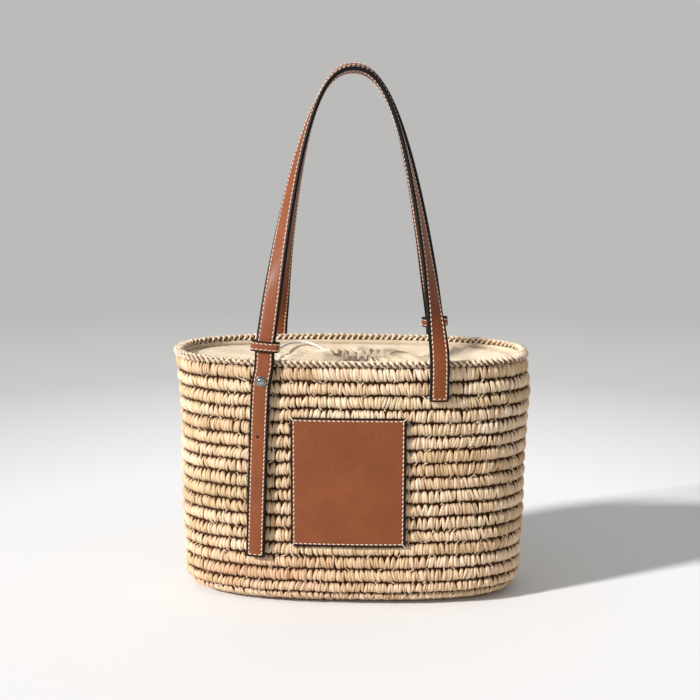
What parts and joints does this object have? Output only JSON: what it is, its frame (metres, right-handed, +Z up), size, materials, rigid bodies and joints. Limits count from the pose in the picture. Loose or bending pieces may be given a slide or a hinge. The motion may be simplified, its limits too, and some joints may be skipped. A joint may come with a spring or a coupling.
{
  "type": "straw basket bag",
  "caption": "Oval crochet straw basket bag with a gathered cotton drawstring collar, leather patch and long leather shoulder straps with keepers and studs.",
  "frame": {"origin": "under the middle of the bag, on the surface that it stands on", "axes": "+Z up, -Y towards the front with the leather patch, +X to the right as seen from the front"},
  "size_m": [0.3144, 0.1478, 0.4641],
  "materials": {
    "straw": "matt natural raffia in crochet loops",
    "cotton": "matt cream cotton with a fine plain weave",
    "leather": "satin tan leather with black painted edges",
    "chrome": "polished"
  },
  "bodies": {
    "root": {"basket_body": "straw", "rim_braid": "straw", "drawstring_collar": "cotton", "drawstring": "cotton", "drawstring_knot": "cotton", "front_patch": "leather", "front_strap": "leather", "back_strap": "leather", "front_keeper": "leather", "back_keeper": "leather", "front_stud": "chrome", "back_stud": "chrome"}
  },
  "joints": []
}
